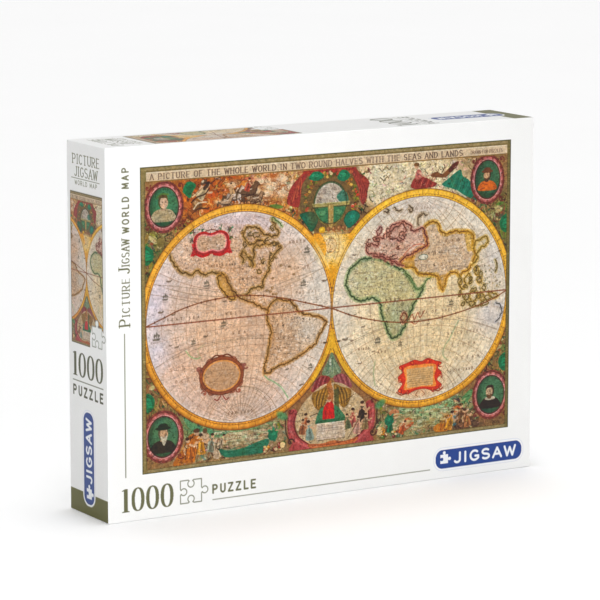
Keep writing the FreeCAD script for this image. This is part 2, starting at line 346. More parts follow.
        (16488, 1308, 4325, 90, -9802, -456, 1926), (15448, -1303, 1729, 737, -370, 8296, 5522), (7194, -1204, 5355, -1619, -119, 8079, 5665), (-5248, 859, 3247, -5377, -8347, 1045, 574),
        (9278, -1131, 7933, 6954, 6962, 184, 1771), (-8537, -719, 9444, -9652, -1743, 1863, 577), (8958, 1338, 4093, -4975, 8647, -634, 266), (-2298, -1437, 4662, -79, -946, 9950, 318),
        (-9691, 1601, 10072, -1472, 30, 7385, 6580), (-9730, 448, 3037, 7508, 6544, -470, 763), (-6539, 1208, 4956, 2449, 1535, 5677, 7708), (-13199, -1258, 4754, -45, -9917, -1240, 343),
        (-5471, 1610, 9985, -466, -279, -7475, 6620), (-15291, -1170, 8051, 8394, -5392, 98, 676), (-8190, 1095, 7376, -8990, -4207, -227, 1195), (12482, 1310, 2302, -1900, -2096, 7941, 5380),
        (-16439, -740, 9405, 116, 9896, 1229, 744), (-3982, -262, 4086, -5550, 8167, 1493, 520), (-9120, -748, 6791, -270, 1624, -9516, 2593), (-9050, -972, 8206, 6281, 7627, 88, 1541),
        (-13181, -1623, 10034, 7047, 7006, 891, 686), (7742, 1307, 7825, -602, 198, 8152, 5758), (6012, -675, 1886, -279, 134, 1876, 9818), (-14583, -1232, 10584, 4632, 7243, 1431, 4902),
        (-9230, -678, 3525, -1261, -9893, -186, 716), (7790, -1673, 9474, -6759, -6933, -2190, 1204), (-1973, -1166, 5970, -8012, -5976, -245, 156), (16168, 1339, 5808, -9822, -1729, 442, 581),
    ],
    [
        (3108, 1022, 1616, -957, 296, 7610, 6410), (-3036, 1728, 8899, 156, -919, -7069, 7011), (-15029, -741, 7740, 9330, 3532, -485, 482), (7696, 1405, 9433, -180, 249, 9918, 1244),
        (10581, -1034, 9359, -9610, -46, 2718, 502), (16119, -1228, 11521, 1646, 1966, 4619, 8491), (13320, 746, 9365, 53, -919, -9797, 1781), (-2272, -1106, 4483, 34, -948, 9846, 1466),
        (-9175, -537, 2986, 9777, 1898, -27, 900), (16142, -1227, 4620, -8344, -4856, 2544, 564), (-3527, 298, 11037, -1800, -8979, 3749, 1446), (-16010, -805, 4635, -7267, -6775, -963, 610),
        (-6907, 227, 1058, -9793, -1537, -226, 1295), (9867, -1140, 4732, -1235, 906, -2231, 9627), (-1066, 1592, 7372, 9954, -16, 169, 938), (8217, 1195, 2393, 9766, -1923, -892, 368),
        (-15881, -1087, 10424, -9638, 1172, -2113, 1125), (12283, 1590, 5799, 37, 9958, -793, 467), (3281, -1385, 1158, -6, 2, -681, 9977), (-1148, -1502, 10568, 1664, 1042, -7438, 6388),
        (8001, -1138, 6502, -6910, -7190, -107, 740), (12943, 1277, 8715, 310, -1129, -2907, 9496), (-10205, -1529, 4281, 406, 1946, -9800, 81), (14783, -1121, 6822, 2400, 9512, 1016, 1652),
        (-11617, 885, 1883, 1581, -9867, -60, 364), (13884, -1632, 3687, 6924, 7068, -1436, 204), (-16319, -328, 9028, 340, -1396, 6932, 7063), (11778, 1538, 7217, -219, -918, -6302, 7707),
        (4842, -346, 4122, 3875, -9013, -1021, 1646), (4908, 1237, 10471, 229, -2051, -4729, 8566), (6931, 1279, 10146, -5936, 8034, -452, 79), (-3783, 1220, 9332, 2510, 9637, -329, 853),
        (9397, 1533, 1283, 367, 294, 9984, 321), (2190, -119, 4395, 158, 935, 7091, 6987), (-9131, 1283, 4412, -9649, 883, 2439, 407), (-8467, 1155, 4336, -961, 2644, -5396, 7936),
        (-2368, -1376, 5471, -5969, -8018, -295, 82), (-13373, -1386, 5379, -9958, -230, -19, 885), (-2806, 1734, 3982, 7070, 7071, 143, 73), (-13960, -1417, 6500, 3597, -1604, 9080, 1431),
    ],
    [
        (-11457, -1496, 2894, 1149, 935, -109, 9889), (-16062, 1282, 8028, -2669, 9607, -690, 321), (9863, 843, 1046, 6569, -7524, -38, 476), (-9083, 1379, 1390, -24, 30, 9886, 1502),
        (-5914, 56, 2434, -2520, -719, -7395, 6200), (-1111, -1123, 2028, 8101, 5803, -791, 274), (-8029, 934, 4315, -1583, -9463, -240, 2809), (6599, 1505, 2934, 204, 344, 9979, 506),
        (-9035, 598, 2077, -623, -850, 8797, 4638), (9502, -464, 5973, -8465, -5269, -16, 762), (-13536, 1369, 6571, 870, -1929, -7909, 5743), (972, 235, 10479, -671, -1582, 7126, 6802),
        (14296, -2400, 8379, -5866, 3947, 3948, 5867), (16357, 749, 3547, 1686, 1044, 6994, 6866), (1911, 1586, 4097, 6475, -7581, -494, 599), (-12366, -1630, 2284, 1396, -4, 6932, 7071),
        (15932, 2260, 8866, 3735, -6004, 6004, 3735), (13132, 1036, 11171, -7682, 1745, -2148, 5773), (11409, -1479, 9923, -2620, 462, -7179, 6433), (14903, 1308, 2514, -352, 1940, -5417, 8171),
        (-15959, 1386, 2980, -265, -890, 5397, 8367), (1327, -1004, 9136, -5255, -2129, -7827, 2568), (-9570, 2500, 11460, -7065, 294, 294, 7065), (16051, 946, 9766, -9655, 1931, 1379, 1070),
        (16009, 699, 9452, 699, 1600, -4234, 8890), (-15980, 1588, 7517, 9971, -32, 497, 579), (6817, 1728, 1630, -646, -247, -7042, 7067), (-4527, 850, 2834, 5830, -8035, -52, 1203),
        (-6977, -899, 11323, -5454, -8222, 914, 1348), (3154, -1276, 6261, -545, 558, -9863, 1454), (15846, 2500, 1445, 4999, -5000, 5000, 5000), (-11471, -1428, 5831, -2665, -124, 9630, 380),
        (12603, 1357, 6110, -426, -816, -5315, 8421), (-1131, -711, 7941, 9131, -4039, -440, 349), (6688, 1567, 7152, 9900, -81, -1355, 373), (4544, 1590, 10000, -762, -1918, -149, 9784),
        (-11894, 910, 11544, -427, 233, 1356, 9896), (9606, -843, 5330, -1107, -346, -3469, 9307), (2499, -1177, 2748, -1820, 317, 9348, 3035), (7252, 1332, 5146, -1384, 197, -1902, 9718),
    ],
    [
        (-2230, -1388, 4187, -46, -956, 9934, 639), (-10452, 771, 10630, -2491, 1119, 5779, 7691), (-6344, -1491, 8288, 885, 2189, -199, 9715), (-13637, 1280, 6814, 9048, 3698, 1301, 1662),
        (-15973, -361, 9323, 682, -1263, 4920, 8587), (-10535, 1733, 4095, -7026, -7036, 808, 688), (1766, 1079, 8315, 9848, -1237, -104, 1217), (-7460, 1124, 11349, 8532, 5080, -591, 1021),
        (-14805, -962, 3725, 1008, -882, -2278, 9645), (-16458, -763, 7103, -676, 507, -34, 9964), (-9895, 1282, 9341, 4107, 8998, -465, 1395), (4571, 1282, 5756, 7058, -7065, -142, 508),
        (2660, 2260, 7522, 5425, -4535, 4534, 5426), (4126, -1041, 7849, 3549, 9340, 213, 351), (10771, 1400, 9473, 5009, 8460, -1753, 520), (4140, 1160, 9213, 9799, 888, 1778, 173),
        (17230, -1241, 8822, -3521, -6132, 3521, 6132), (15420, -1411, 7814, -7245, 6615, -974, 1675), (-3670, -1340, 10118, 2821, 314, 294, 9584), (-2579, 1389, 6185, -938, -1518, -8271, 5329),
        (5580, 2502, 3950, 3921, -5875, 5882, 3938), (1591, -800, 5506, 768, 485, -9936, 668), (15509, 806, 8581, 6418, -7466, -1750, 4), (13039, -1148, 4760, -2980, -9432, 1303, 684),
        (-14017, -1234, 6307, -7535, -5265, 1479, 3649), (4684, -1060, 7030, 447, -1535, 1193, 9799), (1766, -1234, 3241, -5047, 8597, -770, 154), (-13504, -2400, 4195, 4978, -5019, 5021, 4981),
        (-13875, 1290, 7514, 6433, -7581, 1065, 91), (-12719, -2160, 7355, -497, -7054, -7053, 498), (8389, 1379, 7623, 9876, 1436, 294, 557), (8611, -1237, 10311, -8773, 4342, -513, 1979),
        (-8178, -1259, 7509, 801, 1428, -5797, 7982), (-16460, 499, 3916, 1088, -299, -33, 9936), (12494, -1250, 6616, -208, -1172, -8186, 5618), (-3044, 1142, 3277, -9940, -1015, 78, 394),
        (-12053, 786, 6416, 1900, -3027, -8240, 4396), (-5526, -1172, 1965, -896, 167, -9737, 2087), (-6799, -1232, 3328, -8732, 4421, 1735, 1090), (-4783, 737, 3689, -1202, -101, -9802, 1567),
    ],
    [
        (-7744, 881, 10773, 12, -935, -9956, 48), (11132, 1201, 9771, -1814, 227, -1185, 9760), (-10460, 1204, 3124, -760, -472, -3795, 9208), (-7491, -957, 5454, -9838, 806, -605, 1484),
        (-5589, -1729, 11316, 3030, -1188, 6389, 6970), (-12999, -1209, 11006, -1089, -1418, 5586, 8099), (-16412, 1515, 8209, -492, 567, 9970, 205), (1107, 1267, 678, 9, -6, -3033, 9529),
        (-5314, 2245, 7246, 1195, -6286, 7445, 1904), (2870, -928, 4103, -624, 557, 3274, 9412), (-12935, -1368, 7318, -1951, -8034, -4254, 3682), (-11650, 2500, 10734, -4447, 5497, 5497, 4447),
        (8593, 1266, 8334, -3577, 9252, -981, 809), (-3845, -1203, 1383, 761, 652, 8217, 5611), (-9875, 198, 8525, -1512, 290, 8936, 4216), (1634, -1207, 1891, -2402, -434, 7815, 5741),
        (11413, -1146, 3819, 9365, -3348, -886, 549), (-3219, -1295, 825, 5465, 8356, 88, 553), (-6284, -1052, 5072, -9859, -514, -698, 1430), (12100, -1173, 2528, 2055, 8880, 1000, 3989),
        (-11030, 1724, 3282, 7027, -7067, 633, 529), (9848, -2400, 10162, 5743, -4126, 4125, 5743), (5079, -1554, 5806, -1432, 177, 7203, 6785), (-10697, -1148, 9057, -7145, 6839, -1410, 431),
        (-15841, -249, 1942, 6944, 6828, -1784, 1408), (16314, 1251, 2719, 1225, 638, 6975, 7031), (5889, 1006, 4469, -2139, -828, 773, 9703), (-15112, -1020, 8264, 9879, 1392, -365, 577),
        (-14302, -162, 8698, -311, -391, -7497, 6599), (6509, 1494, 6709, -126, -9900, 379, 1351), (-8162, 2500, 4245, 6049, 3662, -3664, 6048), (-5551, 1325, 10747, -78, 617, 8258, 5606),
        (-3795, 1374, 6778, -1620, -225, 8305, 5324), (3401, -1300, 918, 5476, 8368, -2, 1), (-4781, -1488, 7295, 440, -8, 3, 9990), (2702, 706, 2698, -1496, -1209, 1294, 9728),
        (15618, -1049, 1266, -9180, -3876, 123, 834), (-10056, -1258, 4967, 1120, 1155, -8582, 4875), (14630, 1033, 1169, -3238, -9345, -490, 1398), (11520, 1265, 7472, -89, -936, -7313, 6756),
    ],
    [
        (-14348, 1591, 2166, 252, 2146, -55, 9764), (-12903, 1728, 4978, -548, 1484, -7050, 6914), (2704, 1305, 5999, -5532, 8013, -2042, 1010), (15998, 1296, 6063, -4507, -8897, -206, 704),
        (15950, -1193, 9652, 2179, -1910, 7380, 6094), (8888, 1080, 2597, -9893, -556, 1314, 319), (5581, 724, 2287, 7800, -6249, 122, 298), (-12188, 1265, 9139, -3145, -9334, 946, 1450),
        (840, -1253, 998, 210, -638, 5892, 8052), (11947, 1108, 5334, -748, -530, 151, 9957), (13433, 1264, 1873, -465, -254, 3575, 9324), (11338, -1088, 6216, 9692, -2153, 700, 970),
        (-13024, -1157, 10329, -711, -871, 7198, 6850), (10593, 593, 11381, 9555, 1818, -222, 2312), (16395, -1155, 4745, 1144, 2340, 6673, 6978), (5899, -1179, 5626, 3207, 9362, -753, 1226),
        (11633, -1434, 10634, -1230, 2360, 727, 9612), (-3179, -1010, 6937, -9947, -178, -857, 535), (14546, -378, 5913, 8674, -4439, -2026, 979), (11938, 286, 10791, 9344, -2700, 846, 2163),
        (11075, 1272, 4189, -6499, 7497, -1035, 700), (13426, 1264, 3297, -3314, -9412, -142, 638), (-9450, 1146, 2294, 7070, 6993, 999, 341), (-6278, -1050, 4568, 1804, 9704, 1565, 350),
        (10079, -1178, 6898, -1772, -94, 7314, 6585), (-14828, 1197, 10099, 1728, 2571, 8197, 4818), (3080, -1489, 8196, -593, -45, -3, 9982), (594, -1168, 1707, 9546, 1923, 1666, 1548),
        (3085, -998, 10030, 475, 192, 1776, 9828), (3658, 1295, 1106, 8895, -4475, 880, 295), (-1295, -319, 10242, 1964, 14, -2981, 9341), (11008, -1189, 919, 2, -3, 2214, 9752),
        (-4727, -837, 5536, 1006, 1048, -8274, 5425), (13903, -832, 4238, 541, 1344, 9581, 2472), (10147, -897, 7619, -1668, -607, 5072, 8433), (13234, 1286, 893, 217, -494, -9010, 4306),
        (6575, 1509, 9867, 318, -333, -9978, 480), (157, -1920, 6976, -3194, 6308, 6310, 3194), (-15422, 1064, 9937, 8422, -4414, -1850, 2482), (10847, 1134, 2462, 141, 246, 553, 9981),
    ],
    [
        (-1142, -1184, 2300, -807, 202, -2263, 9705), (16023, 1152, 10085, -4662, -8673, -621, 1631), (-5927, -1224, 4056, -263, -1583, 9596, 2313), (7459, 1287, 3691, 9636, -2592, 589, 291),
        (11347, 1022, 7977, 9900, 1061, 485, 800), (56, 1815, 10629, 8633, -639, 2418, 4384), (-6414, -1166, 9660, -6974, 6981, 1151, 1146), (-16004, 961, 3788, 635, 863, -9289, 3545),
        (10788, -1334, 3223, 681, 774, 7934, 6000), (12980, -758, 10845, -2245, -1002, -7042, 6661), (-12208, 1729, 8848, 890, 1487, 7015, 6913), (8610, -1204, 4244, -1350, -291, 5024, 8536),
        (14347, 930, 7770, -8690, 4600, -1798, 296), (5030, 2277, 5508, -7212, 504, 484, 6892), (-15950, -1340, 10613, 2232, -864, -7185, 6530), (-3932, -265, 9689, 535, -9573, -2830, 243),
        (5011, -1572, 9885, 6772, 7190, 1015, 1189), (16085, -434, 2687, 9329, -186, -2386, 2692), (3038, -686, 9819, -1342, -9896, -392, 325), (-7938, 1556, 1649, 74, -4, -9997, 231),
        (15572, -1166, 1497, 826, 170, 3294, 9404), (11003, -1251, 1488, 9756, -1772, -1280, 206), (7226, 1733, 884, -7048, 7060, -565, 407), (9746, -1073, 7800, -5314, 8283, -1686, 559),
        (3126, -830, 10284, 453, -243, 8685, 4931), (7384, -466, 9138, -195, -372, 8999, 4341), (-14241, 1266, 8984, -771, 1093, -3703, 9192), (-6247, 681, 6393, -7063, 6985, -991, 592),
        (-7604, 2500, 10613, -755, 7031, 7031, 755), (8294, 1343, 8552, -5053, 8515, -1034, 944), (-10307, 1249, 11743, 6998, -7051, -875, 734), (1082, 1082, 6626, 8658, -4949, -265, 694),
        (-15835, 982, 895, -826, -944, -6532, 7467), (-3903, 1164, 7030, 1342, -944, -9699, 1800), (6307, 1342, 1224, 9803, 1849, -396, 570), (-11270, -1296, 5672, 5242, 8088, 1467, 2228),
        (-13270, -1182, 2001, -7490, -6613, 301, 272), (-12200, 1295, 9777, -1242, -607, -9553, 2613), (-13895, 1246, 10930, -1401, -594, -2419, 9583), (-4132, -815, 7974, 6534, 7452, -978, 902),
    ],
    [
        (-6397, -1495, 1639, -26, 914, 3, 9958), (4524, 551, 6065, 651, -401, 9269, 3673), (-11180, -418, 9293, -980, -552, 9202, 3749), (-16095, -1250, 6176, 2231, 81, 2390, 9450),
        (-16110, 2260, 11542, -4190, -5696, -5695, 4191), (-2961, -1200, 3233, -324, 9947, 966, 132), (-9355, -222, 3810, 259, 701, -261, 9969), (10664, 703, 680, 9477, -3192, 0, 0),
        (-15955, 1340, 7790, -5500, 8317, -753, 91), (-15708, 366, 11053, 2226, -868, -7187, 6530), (11528, 928, 3335, 1062, 1266, 1826, 9692), (5877, -1086, 9191, -1158, -606, 9845, 1166),
        (102, 2369, 2120, -5746, 4246, 4840, 5052), (-15490, -1635, 1865, 23, 10, 7070, 7072), (-4125, -966, 8264, -837, -1035, -7543, 6430), (15199, -1140, 10974, 156, -1024, 749, 9918),
        (-1593, -260, 2695, 3503, -9304, 1068, 138), (3545, -1352, 10457, 172, 485, -6187, 7840), (14312, 321, 679, 3, 0, 2509, 9680), (-10786, -1378, 10093, 7312, 6729, 913, 650),
        (-1082, 1476, 7150, 9937, -584, 229, 930), (-9631, 400, 6969, 955, -9817, -1557, 538), (313, -898, 3851, -2657, 9593, 883, 362), (3217, -892, 3832, 7222, 6866, -765, 339),
        (8222, -960, 914, -13, 15, 7671, 6415), (-5796, 1595, 10489, -154, 603, 7503, 6582), (-7099, 1059, 4330, 4154, -8651, -1835, 2130), (-6757, -1210, 8001, -9501, -2036, 1928, 1365),
        (-4348, -2400, 8528, -7034, -725, -724, 7034), (2829, -1040, 11006, 315, -406, 9939, 980), (-13330, 1120, 11402, -1913, -176, -9805, 419), (9855, 337, 5726, 324, 341, -1166, 9921),
        (-4496, 927, 8496, 513, -948, -9219, 3723), (4126, 1062, 955, -870, -326, 4074, 9085), (10592, 1327, 6508, 7481, -5007, -3785, 2156), (-7354, -1039, 5197, -5548, 8164, 777, 1405),
        (12323, -1050, 7658, 7039, -7070, 510, 465), (13478, 1268, 6450, -572, -720, -3628, 9273), (1817, 1396, 10022, 8256, 5469, -485, 1300), (6146, 1258, 2731, -379, 107, -2903, 9561),
    ],
    [
        (-3578, -1076, 1683, 9857, 1324, -844, 619), (12064, -1182, 5568, 427, -1124, -9918, 424), (7632, 1255, 5628, 9566, 2558, -783, 1152), (-2050, -1277, 6202, 286, 55, -5326, 8458),
        (-11958, -1160, 2819, 826, 1229, -2992, 9426), (8997, 1284, 6840, 6239, -7798, 358, 386), (-16022, 791, 1980, -889, 2078, 8366, 4990), (-2796, 841, 5876, -1273, -1248, -6783, 7128),
        (6158, 1367, 7066, -1327, 459, -8197, 5554), (-6456, 1106, 3177, -1252, 3068, -185, 9433), (2552, -2400, 4603, 5667, -4229, 4229, 5667), (-11023, -1158, 10783, 6850, 7199, 869, 709),
        (-7518, 1276, 7067, 806, 218, -3989, 9132), (-12426, 906, 7839, 9619, 2471, -1128, 307), (-9760, 2122, 7139, -4395, -5960, -4206, 5241), (5572, -1174, 1392, -4, 38, 9191, 3940),
        (8593, 499, 2898, 3616, -9225, -712, 1150), (3289, 1240, 6764, 6961, 7168, -129, 399), (-10678, -700, 10383, 8414, 5286, 1016, 472), (-11899, -583, 2697, 3833, -9118, -1416, 400),
        (2272, -1252, 1937, 412, -2406, -5664, 7872), (6774, -14, 10929, -1548, -9514, 2664, 1), (8634, 1235, 6610, -526, -18, -1777, 9827), (10194, 1232, 8529, -1317, 9622, -620, 2300),
        (9337, 1417, 3144, -8253, -5581, 446, 734), (-3738, 1242, 5445, -1411, -1375, -9082, 3692), (-11323, 776, 1621, -9631, -2664, 360, 102), (-5455, 956, 7869, 1320, -9891, -54, 656),
        (-8064, 962, 4625, -9503, -1314, 2610, 1073), (8565, 1554, 7060, -521, 80, 170, 9985), (-17230, 1374, 10164, -3730, -6007, 3730, 6007), (10166, -1020, 7142, -1658, 9700, -1334, 1172),
        (4587, -1186, 2693, -2345, 9450, -1007, 2047), (-11462, 2500, 6596, -44, 7071, 7070, 43), (-10607, 1458, 10772, 7245, 6092, -2329, 2229), (7183, 1159, 4432, -4928, 8306, -2579, 264),
        (11317, -1342, 4939, 6088, -7790, -14, 1504), (-3377, 1393, 8316, -1306, 9857, -917, 534), (-13128, -1394, 4466, 1119, -635, 6981, 7043), (-4250, -1462, 6933, 1210, -589, -6301, 7647),
    ],
    [
        (-15991, -1256, 913, 5181, -8553, -24, 13), (1887, 1316, 9800, -643, 1230, 9586, 2487), (-4237, -1170, 7822, 566, -9895, 1326, 39), (14222, -1397, 8767, -9248, 688, 2024, 3148),
        (10543, 2062, 11248, -7496, 807, -634, 6539), (16180, -1344, 8950, -58, -9572, -2854, 477), (4173, -1228, 1877, 5615, 8275, -16, 17), (-8438, -2400, 8705, 6648, 2407, -2407, 6649),
        (6162, 1265, 6575, 1126, 846, 9198, 3662), (4500, 1360, 3646, 1861, 721, 9788, 463), (5821, -933, 1153, 11, 19, 9653, 2610), (-11431, 13, 680, 4773, -8788, 1, 3),
        (-7892, -1244, 6226, -8571, -5036, -989, 441), (6387, -1166, 7795, -3481, -9300, -709, 940), (1261, 1155, 3440, -7158, 6880, -1158, 288), (-1874, -1101, 6899, 702, -689, -1804, 9787),
        (-9174, 440, 5890, 9858, 1516, 278, 665), (2248, 663, 8639, -1174, 330, 563, 9909), (-12760, 1578, 5166, -9872, 159, 1444, 662), (5559, 789, 6282, -1602, -9770, 586, 1276),
        (-16038, 175, 6528, 2072, 160, 1916, 9592), (-4096, 1269, 2396, 9405, -3151, -650, 1093), (2680, -259, 9634, 461, 217, 1169, 9918), (-2436, -1632, 7386, -482, 283, -7055, 7065),
        (15929, 1132, 7552, 9763, -1159, 1786, 377), (-7043, 1380, 7617, 9833, -1485, -1052, 64), (8785, -1099, 3757, 9686, -2083, 1114, 781), (-2075, -1259, 5723, 290, 55, -5275, 8491),
        (11778, 1405, 3994, 9911, -1176, 615, 103), (4602, -1426, 11320, -6245, 7787, 77, 596), (-1598, -148, 1697, -5449, -8343, 837, 31), (-7052, -1649, 3490, -7056, -6783, -457, 1996),
        (16323, -1567, 5793, -7062, -7053, -502, 367), (-9599, 523, 6751, -9757, -1449, 455, 1577), (4706, -1302, 3030, 2181, -676, -9703, 803), (15895, -1175, 6994, 2717, 9426, 1072, 1617),
        (-739, -1655, 11078, -6851, -7014, -1749, 893), (-6583, 1301, 9385, -2365, -9697, -443, 419), (-9807, 1294, 4498, -1069, -9630, -359, 2448), (-15977, -1231, 1628, -8271, -5620, 16, 21),
    ],
    [
        (-15357, -1631, 5470, 965, 565, -7005, 7048), (-14874, -896, 2764, 6363, 7434, -1908, 785), (-5255, 886, 6090, 825, -1095, -7628, 6320), (16094, 1336, 3449, 5252, -8276, -1407, 1395),
        (-15912, -131, 680, -7858, 6185, 1, 1), (13674, 1582, 2137, -310, -509, -64, 9982), (-15841, -1491, 5227, 642, -925, 6500, 7516), (-16268, 1660, 8472, 6821, 7284, -202, 615),
        (-3727, 1480, 2016, 114, 1240, 7994, 5878), (5379, -146, 678, -7200, 6940, -5, 4), (-9008, 1372, 1913, 8219, 5598, 1046, 142), (-3424, 1307, 1506, -442, 1165, 4595, 8794),
        (-12852, 846, 2454, -3594, -9324, 129, 350), (-9356, -1571, 2923, -740, 495, 6824, 7255), (-10065, 1299, 9049, -685, -1302, -2593, 9545), (15987, 1515, 5361, 564, -468, 9962, 471),
        (-7954, 1037, 11099, 2921, 9472, -1284, 315), (6432, -1304, 7513, -8336, -5397, -16, 1179), (8230, -2400, 7659, 6244, -3320, 3319, 6244), (-1698, 303, 2813, -857, 655, 7771, 6201),
        (11670, -1198, 5780, 8876, -4448, 918, 774), (-11173, 137, 4923, 1782, 3041, -7696, 5325), (-11367, -1269, 8341, 1082, 2877, 5260, 7930), (-7818, 1603, 3103, 9, 9900, -1408, 77),
        (6765, -1153, 10259, 8016, 5566, 1954, 977), (-16085, 954, 6579, -10, 1969, -9491, 2458), (-5601, 1041, 2131, -1719, 1972, 2479, 9328), (-911, -1234, 10444, -8533, 4830, 416, 1919),
        (-15149, -968, 4159, -9360, -3330, -642, 941), (4930, -1275, 4787, -262, 1955, 1577, 9676), (-13622, 1299, 7079, 9505, 2283, 1537, 1445), (7332, -1357, 10234, 526, -2145, -742, 9725),
        (-1879, -1028, 7550, -423, -9975, 164, 534), (5919, 857, 6425, -4057, -9031, 896, 1089), (-1191, 1282, 4848, 348, -82, -9692, 2437), (-16122, -1878, 3198, 5960, -5408, 2292, 5476),
        (14967, -110, 11221, -749, 9918, 156, 1024), (-10378, -1278, 11671, 371, 57, -5485, 8353), (2721, -1075, 5835, 196, 744, -3330, 9398), (1228, 5, 11403, 573, 971, -1439, 9831),
    ],
    [
        (6758, -1490, 5531, 9867, -116, 1401, 818), (-3720, 1134, 4964, -3467, -9170, 1969, 102), (2206, 1191, 9251, -146, 250, -9830, 1812), (-4910, -1630, 5616, -7051, 7010, 533, 923),
        (16319, 1251, 6747, -17, 738, -7032, 7071), (16478, 865, 7528, -106, 9832, -604, 1722), (8510, -1043, 8256, -505, 9804, -1471, 1208), (3064, -838, 679, -1, 2, 9976, 698),
        (1758, -1392, 9604, 6303, -5303, -955, 5589), (127, -1629, 8687, 7070, -7062, 149, 366), (12492, 1289, 1074, -4360, 8983, -495, 214), (-7142, -1063, 7674, -2061, 1158, -9662, 1025),
        (-16162, -1234, 10847, 221, -2323, 2031, 9510), (-1785, -1174, 3993, 406, 868, -9434, 3176), (-14210, 1278, 3545, -596, -642, 8046, 5874), (-15223, 1266, 4982, 3228, 9452, -365, 313),
        (-1331, -29, 10093, 1243, -1519, 5399, 8185), (-8046, -1047, 4838, -9856, -500, -790, 1408), (13653, -1032, 2077, 748, -320, -193, 9965), (-6599, 1010, 6786, 886, -739, -8930, 4350),
        (-11731, 660, 6402, -7251, 5889, -3524, 572), (-14900, 1735, 2910, 665, -605, -7040, 7044), (-3906, -1199, 10516, -9266, -2466, -336, 2819), (2601, 2500, 11062, -5167, 4828, 4828, 5166),
        (11691, -777, 5934, -306, -1158, -7815, 6124), (-15371, -1547, 7584, -844, -94, -6854, 7232), (11420, 1590, 7656, -572, 744, 9956, 42), (13831, 1590, 6676, -468, 793, 9957, 37),
        (-11701, -156, 6467, -31, -3572, -4580, 8141), (-11337, -1204, 11887, -8869, -4604, -296, 231), (8624, -1044, 8546, 6873, -7009, 1904, 72), (3929, -1495, 8768, 2, 9921, -18, 1254),
        (-4198, 1277, 9507, -896, 175, 9049, 4157), (-8792, -1636, 2325, -7035, -7035, 709, 718), (13543, -1303, 945, -8311, -5479, 55, 949), (2084, -890, 5326, -9024, 4212, -439, 796),
        (-13580, 1270, 2056, 1604, 1434, 6399, 7377), (2508, 1205, 4423, -190, 1042, 5540, 8258), (9681, 1477, 5273, 9902, 770, -154, 1150), (11860, 1390, 6518, 1146, 9888, -687, 660),
    ],
    [
        (-12253, 838, 6559, -2151, 9088, -2441, 2612), (-4509, -1037, 2838, 887, 784, 9870, 1088), (9802, 1264, 4736, -3348, 9384, -604, 607), (16189, 1339, 4191, -5964, -7778, 832, 1801),
        (1846, 1728, 5268, -253, -728, -7067, 7034), (392, -54, 5797, 9051, 3997, -3, 1449), (1897, -1172, 3491, -712, 321, 9126, 4014), (1160, 1480, 4836, 9915, 740, -820, 681),
        (144, -1598, 4200, -7060, -7019, -745, 588), (-5460, 2500, 5987, 5221, -4770, 4770, 5219), (-9085, -1246, 4213, 965, 1843, -9348, 2879), (14108, -1070, 10994, -5885, 417, -7883, 1749),
        (2377, 1447, 6090, -5435, 8079, -2028, 1035), (-8766, -768, 9276, -1898, 450, -9747, 1091), (-9476, 908, 1155, 9176, 3975, 9, 36), (8623, 1704, 680, 0, -1, -7181, 6959),
        (-693, 993, 8312, -2036, -9683, 1435, 184), (-13784, -1121, 9092, 545, 816, -4766, 8737), (-1400, 1686, 4574, -7230, 6898, -331, 177), (-264, -1162, 5180, 736, -434, 7571, 6477),
        (12782, -769, 10618, 8403, 4832, -1949, 1499), (8822, 1263, 6363, -111, 516, 9365, 3468), (-6686, 1189, 10343, -570, -248, -7689, 6363), (13304, 1594, 8552, -1174, 36, 9931, 4),
        (12628, -808, 7329, -573, 744, 9254, 3671), (-3566, 1341, 1771, 203, 1232, 8381, 5310), (-8635, -1202, 11157, 8901, 4556, -52, 122), (9730, 1312, 10117, 3398, 9228, -1804, 217),
        (-1506, 1398, 4332, 6175, 7856, 138, 369), (-2565, -1351, 5229, 294, -88, -883, 9956), (-14737, 1182, 9747, 8421, -4415, -1850, 2484), (7449, -1476, 5079, -10, 9907, -1028, 889),
        (-3673, 1323, 5143, 32, 1970, 9044, 3785), (-7463, 695, 3028, -156, -949, -9872, 1268), (13952, 255, 3409, -9978, -60, 552, 351), (-17230, -1374, 11393, 538, 7051, 538, 7050),
        (4674, 1455, 8567, -106, 485, 6991, 7133), (-2125, 1747, 10599, 5513, 6674, -2180, 4507), (-7490, -1155, 1213, 1068, 216, -2707, 9565), (-3647, 610, 4893, -1975, -32, -4081, 8913),
    ],
    [
        (-4742, -1249, 5951, 768, 696, -8410, 5310), (-12727, -1466, 7580, 502, 5678, -7052, 4216), (261, 915, 3012, 170, -1187, -6102, 7831), (-15630, -366, 2252, 1788, -9571, 2170, 698),
        (6698, -1152, 2142, -142, 272, 7267, 6863), (-1782, 398, 9687, 1772, -844, 1383, 9707), (14168, 2111, 10400, -1489, -7452, -5897, 2733), (16118, 487, 9112, -1047, 1396, -9822, 696),
        (2761, 1110, 7234, 9991, -8, 198, 370), (-9167, 1676, 5544, -7236, 6868, 498, 469), (-1200, -26, 9850, 1074, -1643, 6239, 7564), (-4479, 827, 3858, 6263, -7702, -514, 1088),
        (11801, 1365, 7002, -940, -99, 5163, 8512), (-2282, -2400, 9322, 1327, 6946, -6946, 1326), (-9898, 1593, 9776, 109, 9890, -990, 1090), (-15902, -1187, 1390, 2436, -9699, -13, 13),
        (-9617, -364, 8447, -1274, -870, 3302, 9312), (-7964, -1259, 10920, -88, 99, 7929, 6092), (-843, 949, 930, 111, -935, -7358, 6706), (-6624, -1205, 4728, -9489, 2717, -201, 1591),
        (-15833, 1441, 11243, -1810, 3541, 9033, 1608), (283, 1728, 6171, 59, 769, 7071, 7029), (13937, -789, 5673, -1465, 1707, -6504, 7255), (-5489, 1090, 7620, -93, 594, -816, 9948),
        (-13435, -1411, 9736, 1116, 137, -9936, 55), (4105, -1306, 10671, -6110, 7899, 512, 50), (-9709, 593, 7992, 9879, -143, 1258, 894), (-3819, -1218, 2230, 8768, -4692, -323, 998),
